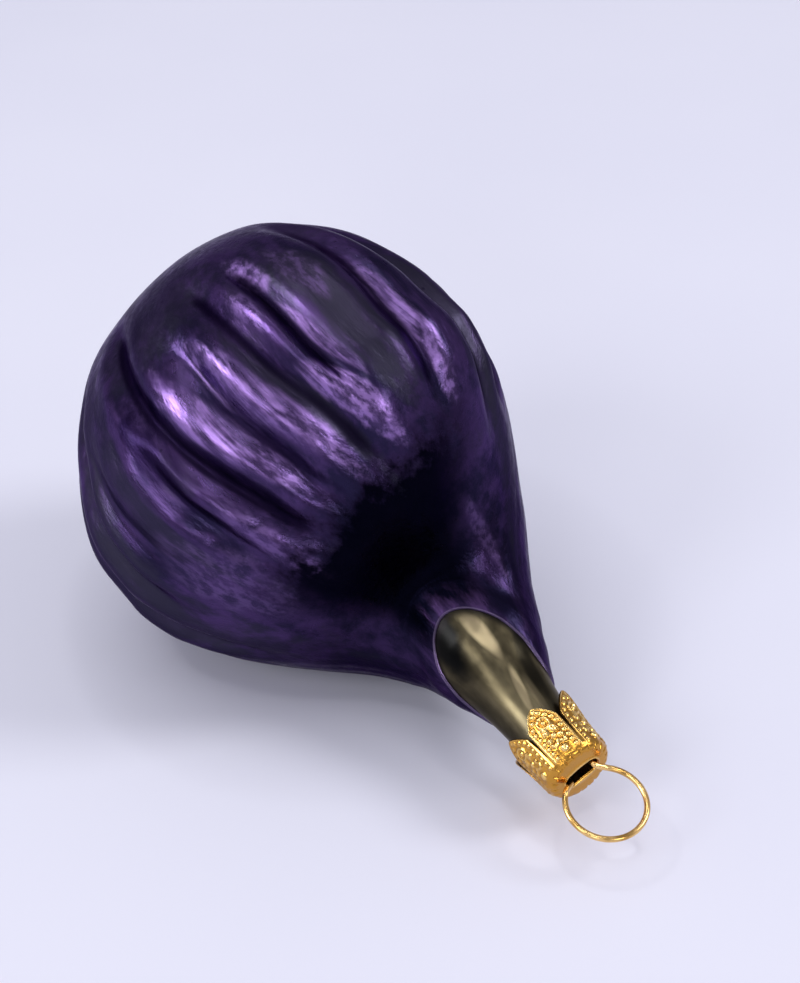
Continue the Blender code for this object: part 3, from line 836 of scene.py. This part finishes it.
# The same for the stem's painted highlights, then its painted shade and dark reflections
STEM_HIGHLIGHT_PLACES = [
    (45.5, 4.5, -22.0, 9.0, 1.0, 0.95),
    (56.0, 4.0, -20.0, 7.0, -1.6, 0.6),
    (58.0, 4.0, -2.0, 8.0, 0.0, 0.25),
]
STEM_SHADE_PLACES = [
    (43.0, 6.5, -60.0, 22.0, -2.0, 1.0),
    (53.0, 7.0, 15.0, 12.0, 0.0, 0.7),
    (55.0, 8.0, -88.0, 18.0, 0.0, 0.4),
    (51.5, 3.0, -34.0, 9.0, 0.0, 0.35),
]
PLACE_EDGE, PLACE_FULL = 1.5, 0.2  # squared distance, in half sizes, at which a place ends and is full

# The painted dark reflection before the lip: its middle, and the cosine of the turn at its edge and where
# it is full
POOL_ANGLE = -38
POOL_TURN = (0.50, 0.90)
# Lines between which the painted dark reflection, its fainter band round the neck, the neck's painted sheen
# and the lip's painted highlight set in, and those between which the painted dark reflection fades at the
# lip
POOL_SPAN, NECK_SPAN, SHEEN_SPAN, LIP_HIGHLIGHT_SPAN = (17, 24), (20, 34), (45, 50), (51.55, 51.8)
REFLECTION_FADE_SPAN = (52, 49)


def turn_about(look, flow):
    """The line along the form, and the angle round it in degrees."""
    parts = look.node("SeparateXYZ", Vector=flow)
    turn = look.math("ARCTAN2", parts.outputs[2], parts.outputs[1])
    return parts.outputs[0], look.math("DEGREES", turn)


def painted(look, line, turn, places, break_up):
    """How strongly the nearest of the soft-edged places shows, from 0 to 1."""
    most = 0.0
    for middle, length, angle, width, drift, strength in places:
        past = look.take(line, middle)
        along = look.times(past, 1 / length)
        across = look.times(look.take(look.take(turn, look.times(past, drift)), angle), 1 / width)
        away = look.add(look.times(along, along), look.times(across, across))
        here = look.span(look.add(away, break_up), PLACE_EDGE, PLACE_FULL, 0, strength)
        most = look.larger(most, here)
    return most


def purple_lacquer():
    look = Look("purple_lacquer")
    flow, relief = look.attribute("flow", "Vector"), look.attribute("relief", "Fac")
    line, turn = turn_about(look, flow)

    # Noise drawn out along the form, as brushed lacquer is
    streaks = look.noise(look.stretched(flow, (0.06, 0.30, 0.30)), 1.0, 5.0, 0.62)
    patches = look.noise(look.stretched(flow, (0.05, 0.10, 0.10)), 1.0, 5.0, 0.66)
    brushed = look.noise(look.stretched(flow, (0.09, 1.0, 1.0)), 1.0, 4.0, 0.6)
    mottle = look.noise(look.stretched(flow, (0.35, 0.5, 0.5)), 1.0, 3.0, 0.6)
    specks = look.node("TexVoronoi", Vector=flow, Scale=0.42).outputs["Distance"]
    tone = look.add(look.times(streaks, 0.5), look.times(patches, 0.5))
    grain = look.add(look.times(brushed, 0.72), look.times(mottle, 0.28))
    uneven = look.take(streaks, 0.5)
    break_up = look.times(uneven, 3.4)

    # The ground colour, then matte film, painted highlights, painted shade, and dark specks
    colour = look.mix(look.span(tone, 0.41, 0.60), PURPLE_DARK, PURPLE_LIGHT)
    film = painted(look, line, turn, FILM_PLACES, break_up)
    film = look.larger(film, look.span(patches, 0.55, 0.68, 0, 0.5))
    colour = look.mix(film, colour, FILM_GREY)
    # Painted highlights: lighter lilac on the ridges, broken up by the grain
    painted_highlight = painted(look, line, turn, HIGHLIGHT_PLACES, break_up)
    painted_highlight = look.times(painted_highlight, look.span(grain, 0.42, 0.60, 0.2, 1))
    colour = look.mix(painted_highlight, colour, HIGHLIGHT_LILAC)
    # Painted shade: darker plum on a ridge and along some furrows
    painted_shade = painted(look, line, turn, SHADE_PLACES, break_up)
    colour = look.mix(painted_shade, colour, SHADE_PLUM)
    speck = look.times(look.span(specks, 0.05, 0.14, 0.7, 0), look.span(patches, 0.5, 0.62))
    colour = look.mix(speck, colour, SPECK_PLUM)

    # A painted dark reflection, fainter all round the neck, then painted sheen on the neck, a painted
    # highlight on the lip's edge and painted shade in the furrows' creases
    front = look.math("COSINE", look.math("RADIANS", look.take(turn, POOL_ANGLE)))
    reach = look.add(line, look.times(uneven, 18.0))
    dark_reflection = look.times(look.span(reach, *POOL_SPAN), look.span(front, *POOL_TURN))
    dark_reflection = look.larger(dark_reflection, look.span(line, *NECK_SPAN, 0, 0.52))
    # The painted dark reflection fades a little at the lip
    depth = look.times(dark_reflection, look.span(line, *REFLECTION_FADE_SPAN, 0.75, 1))
    colour = look.mix(look.times(depth, 0.985), colour, REFLECTION_BLACK)
    # Painted sheen: a lighter violet glow on the neck before the lip
    neck_sheen = look.times(look.span(line, *SHEEN_SPAN), look.span(streaks, 0.46, 0.66, 0, 0.25))
    colour = look.mix(neck_sheen, colour, NECK_SHEEN)
    # Painted highlight: a paler line along the lip's edge
    colour = look.mix(look.span(line, *LIP_HIGHLIGHT_SPAN, 0, 0.35), colour, LIP_HIGHLIGHT)
    # Painted shade: the deepest parts of the furrows are darker
    crease_shade = look.span(relief, -1.0, -1.6, 0, 0.9)
    colour = look.mix(crease_shade, colour, CREASE_SHADE)

    # Film, painted shade and creases are duller, and the coat lies only where there is no film, painted
    # shade, painted dark reflection or crease
    matte = look.add(look.times(look.add(film, painted_shade), 0.10), look.times(crease_shade, 0.15))
    rough = look.add(look.span(grain, 0.35, 0.65, 0.26, 0.38), matte)
    height = look.add(streaks, look.times(look.add(brushed, mottle), 0.3))
    normal = look.bump(height, 0.0004, 0.5)
    dull = look.times(look.larger(film, painted_shade), 0.9)
    clear = look.times(look.take(1.0, depth), look.take(1.0, crease_shade))
    clear = look.times(clear, look.take(1.0, dull))
    return look.dress(
        Base_Color=colour, Metallic=1.0, Specular_Tint=PURPLE_SHEEN, Roughness=rough, Normal=normal,
        Coat_Weight=look.times(clear, 0.15), Coat_Roughness=0.26, Coat_Normal=normal,
    )


def olive_lacquer():
    look = Look("olive_lacquer")
    flow, past_lip = look.attribute("flow", "Vector"), look.attribute("relief", "Fac")
    clouds = look.noise(look.stretched(flow, (0.14, 0.22, 0.22)), 1.0, 3.0)
    streaks = look.noise(look.stretched(flow, (0.12, 0.7, 0.7)), 1.0, 4.0)
    line, turn = turn_about(look, flow)
    tone = look.add(look.times(clouds, 0.75), look.times(streaks, 0.25))
    colour = look.mix(look.span(tone, 0.38, 0.62), OLIVE_DARK, OLIVE_LIGHT)
    break_up = look.take(clouds, 0.5)
    # Painted highlights on the stem, then painted shade and dark reflections, then painted shade under the
    # lip
    colour = look.mix(painted(look, line, turn, STEM_HIGHLIGHT_PLACES, break_up), colour, OLIVE_HIGHLIGHT)
    colour = look.mix(painted(look, line, turn, STEM_SHADE_PLACES, break_up), colour, OLIVE_SHADE)
    colour = look.mix(look.span(past_lip, 0.0, 2.0, 0.85, 0), colour, LIP_SHADE)
    return look.dress(
        Base_Color=colour, Metallic=1.0, Specular_Tint=OLIVE_SHEEN,
        Roughness=look.span(clouds, 0.3, 0.7, 0.28, 0.36), Normal=look.bump(tone, 0.0002, 0.3),
    )


def stamped_gold():
    look = Look("stamped_gold")
    place = look.node("TexCoord").outputs["Object"]
    relief = look.attribute("relief", "Fac")
    grain = look.noise(place, 2600.0, 2.0)
    tarnish = look.noise(place, 420.0, 3.0)
    # Painted shade: darker gold on the ground between the raised relief and in the shoulder's dents,
    # lighter on top of the relief
    colour = look.mix(look.span(relief, 0.0, 0.3), GOLD_RECESS_SHADE, GOLD_HIGH)
    colour = look.mix(look.span(tarnish, 0.5, 0.75, 0, 0.25), colour, GOLD_TARNISH)
    rough = look.span(tarnish, 0.3, 0.7, 0.16, 0.28)
    normal = look.bump(grain, 0.00003, 0.3)
    return look.dress(Base_Color=colour, Metallic=1.0, Roughness=rough, Normal=normal)


def ring_wire():
    look = Look("ring_wire")
    place = look.node("TexCoord").outputs["Object"]
    smudge = look.noise(place, 300.0, 3.0)
    drawn = look.noise(place, 1800.0, 2.0)
    colour = look.mix(look.span(smudge, 0.35, 0.65), WIRE_DARK, WIRE_LIGHT)
    rough = look.span(smudge, 0.3, 0.7, 0.14, 0.28)
    normal = look.bump(drawn, 0.00002, 0.3)
    return look.dress(Base_Color=colour, Metallic=1.0, Roughness=rough, Normal=normal)


def white_table():
    look = Look("white_table")
    place = look.node("TexCoord").outputs["Object"]
    cloud = look.noise(place, 9.0, 2.0)
    grain = look.noise(place, 900.0, 2.0)
    colour = look.mix(look.span(cloud, 0.3, 0.7), *TABLE_COLOURS)
    normal = look.bump(grain, 0.0001, 0.1)
    return look.dress(Base_Color=colour, Roughness=0.6, Normal=normal, Specular_IOR_Level=0.25)


FLOOR_HALF = 9.0
CORNERS = [(-1, -1), (1, -1), (1, 1), (-1, 1)]


def floor():
    mesh = bpy.data.meshes.new("floor")
    mesh.from_pydata([(x * FLOOR_HALF, y * FLOOR_HALF, 0) for x, y in CORNERS], [], [(0, 1, 2, 3)])
    mesh.materials.append(white_table())
    placed("floor", mesh)


AIM = Vector((0.01, 0.0, 0.02))  # what the lights point at
LAMP_COUNT = 36
OVAL_AWAY, OVAL_RIGHT, OVAL_HEIGHT = -0.11, -0.23, 1.00  # the lamps' middle, as the camera sees it
OVAL_HALF_DEPTH, OVAL_HALF_WIDTH = 0.43, 0.36
LAMP_SIZE, LAMP_POWER = 0.055, 0.096
PANELS = [  # azimuth, elevation, distance, size, power, whether the floor takes its light
    (-124, 27, 0.9, 0.36, 4.5, False),
    (-90, 33, 1.8, 0.63, 6.3, True),
    (-57, 21, 1.8, 0.51, 3.4, True),
    (-10, 25, 0.9, 0.26, 1.3, False),
    (46, 40, 1.8, 0.63, 10.4, True),
]
WORLD_COLOUR, WORLD_STRENGTH = (0.80, 0.80, 0.905, 1), 0.50


def level_axes():
    """The level directions to the camera's right and away from it."""
    azimuth = math.radians(AZIMUTH_DEG)
    across, ahead = math.cos(azimuth), math.sin(azimuth)
    return Vector((across, ahead, 0)), Vector((-ahead, across, 0))


def area_light(name, place, size, power, on_floor=True):
    data = bpy.data.lights.new(name, "AREA")
    data.shape = "DISK"
    data.size = size
    data.energy = power
    made = placed(name, data)
    made.location = place
    made.rotation_euler = (place - AIM).to_track_quat("Z", "Y").to_euler()
    made.visible_diffuse = on_floor


def lights():
    """An oval of small lamps overhead, as in a ring lamp, and soft panels around."""
    right, away = level_axes()
    for k in range(LAMP_COUNT):
        turn = 2 * math.pi * k / LAMP_COUNT
        deep = OVAL_AWAY + OVAL_HALF_DEPTH * math.sin(turn)
        wide = OVAL_RIGHT + OVAL_HALF_WIDTH * math.cos(turn)
        place = AIM + away * deep + right * wide + Vector((0, 0, OVAL_HEIGHT))
        area_light(f"lamp_{k}", place, LAMP_SIZE, LAMP_POWER)
    for k, (turn_deg, rise_deg, distance, size, power, on_floor) in enumerate(PANELS):
        turn, rise = math.radians(turn_deg), math.radians(rise_deg)
        level = math.cos(rise)
        way = Vector((level * math.cos(turn), level * math.sin(turn), math.sin(rise)))
        area_light(f"panel_{k}", AIM + way * distance, size, power, on_floor)


def surroundings():
    world = bpy.data.worlds.new("studio")
    bpy.context.scene.world = world
    world.use_nodes = True
    background = world.node_tree.nodes["Background"]
    background.inputs["Color"].default_value = WORLD_COLOUR
    background.inputs["Strength"].default_value = WORLD_STRENGTH


def camera():
    data = bpy.data.cameras.new("camera")
    data.sensor_width = SENSOR_MM
    data.lens = SENSOR_MM * FOCAL_PX / max(PHOTO_WIDTH, PHOTO_HEIGHT)
    right, away = level_axes()
    elevation = math.radians(ELEVATION_DEG)
    back = Vector((0, 0, math.sin(elevation))) - away * math.cos(elevation)
    turned = Matrix((right, back.cross(right), back)).transposed().to_4x4()
    made = placed("camera", data)
    made.matrix_world = Matrix.Translation(CAMERA_AT) @ turned
    bpy.context.scene.camera = made


camera()
fig_bulb(purple_lacquer())
fig_stem(olive_lacquer())
crown_cap(stamped_gold())
wire_ring(ring_wire())
floor()
lights()
surroundings()
bpy.context.scene.view_settings.view_transform = "Standard"
